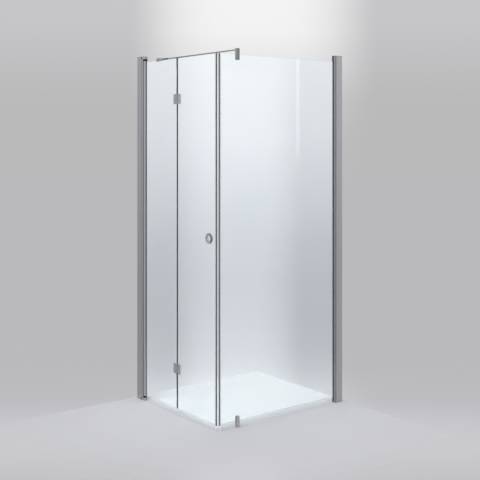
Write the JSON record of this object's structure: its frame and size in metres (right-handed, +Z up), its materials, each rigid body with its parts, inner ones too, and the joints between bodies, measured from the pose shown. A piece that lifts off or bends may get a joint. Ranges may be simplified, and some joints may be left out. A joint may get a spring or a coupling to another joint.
{
  "type": "corner shower enclosure",
  "caption": "Glass corner shower enclosure: a folding door pivots at one wall, a fixed panel runs to the other, and a bar ties the panel to the wall.",
  "frame": {"origin": "on the floor, in the middle of the enclosure's outer box", "axes": "+Z up; the door runs along X and faces -Y; the fixed panel runs along Y and faces +X; the walls are at -X and +Y"},
  "size_m": [0.788, 0.903, 2.0025],
  "materials": {
    "profile_aluminium": "polished and bright anodised",
    "chromed_fittings": "polished",
    "stainless_steel": "plain machined",
    "safety_glass": "clear toughened glass, 6 mm",
    "clear_seal": "clear soft PVC",
    "clear_acrylic": "clear acrylic",
    "clear_gasket": "translucent soft plastic",
    "fold_seal_plastic": "soft grey plastic",
    "dark_rubber": "smooth extruded rubber",
    "magnet_core": "plastic-bonded magnet",
    "bush_plastic": "moulded",
    "cap_plastic": "moulded, metal grey",
    "dark_sleeve": "smooth dark grey"
  },
  "bodies": {
    "root": {"door_wall_profile": "profile_aluminium", "hinge_post": "profile_aluminium", "door_profile_cap": "cap_plastic", "profile_screws": "stainless_steel", "upper_pivot_bracket": "chromed_fittings", "lower_pivot_bracket": "chromed_fittings", "upper_pivot_pin": "stainless_steel", "lower_pivot_pin": "stainless_steel", "post_wiper": "dark_rubber", "panel_wall_profile": "profile_aluminium", "adjusting_profile": "profile_aluminium", "panel_profile_cap": "cap_plastic", "fixed_glass": "safety_glass", "glazing_gasket": "dark_rubber", "panel_magnet_seal": "clear_seal", "panel_magnet_strip": "magnet_core", "panel_bottom_seal": "clear_seal", "corner_block": "clear_acrylic", "door_threshold": "clear_acrylic", "floor_clamp_body": "chromed_fittings", "floor_clamp_plate": "chromed_fittings", "clamp_pads": "dark_rubber", "clamp_screws": "stainless_steel", "bar_clamp_body": "chromed_fittings", "bar_clamp_plate": "chromed_fittings", "bar_set_screws": "stainless_steel", "stabiliser_bar": "chromed_fittings", "bar_wall_socket": "chromed_fittings", "bar_sleeve": "dark_sleeve"},
    "wall_leaf": {"pivot_tube": "profile_aluminium", "upper_pivot_bush": "bush_plastic", "lower_pivot_bush": "bush_plastic", "tube_glazing_strip": "dark_rubber", "wall_leaf_glass": "safety_glass", "wall_leaf_drip_seal": "clear_seal", "fold_seal": "fold_seal_plastic", "upper_hinge_wall_plate": "chromed_fittings", "lower_hinge_wall_plate": "chromed_fittings", "wall_leaf_gaskets": "clear_gasket", "wall_leaf_sleeves": "clear_gasket", "wall_leaf_screws": "stainless_steel", "upper_hinge_pin": "stainless_steel", "lower_hinge_pin": "stainless_steel"},
    "grip_leaf": {"grip_leaf_glass": "safety_glass", "grip_leaf_drip_seal": "clear_seal", "upper_hinge_grip_plate": "chromed_fittings", "lower_hinge_grip_plate": "chromed_fittings", "grip_leaf_gaskets": "clear_gasket", "grip_leaf_sleeves": "clear_gasket", "grip_leaf_screws": "stainless_steel", "door_magnet_seal": "clear_seal", "door_magnet_strip": "magnet_core", "outer_grip_ring": "chromed_fittings", "inner_grip_ring": "chromed_fittings", "grip_liner": "clear_gasket", "grip_gaskets": "dark_rubber"}
  },
  "joints": [
    {"name": "door_swing", "type": "hinge", "parent": "root", "child": "wall_leaf", "pos_m": [-0.327, -0.4355, 0], "axis": [0, 0, 1], "range_deg": [0, 90]},
    {"name": "door_fold", "type": "hinge", "parent": "wall_leaf", "child": "grip_leaf", "pos_m": [0.01, -0.4445, 0], "axis": [0, 0, 1], "range_deg": [-175, 0]}
  ]
}
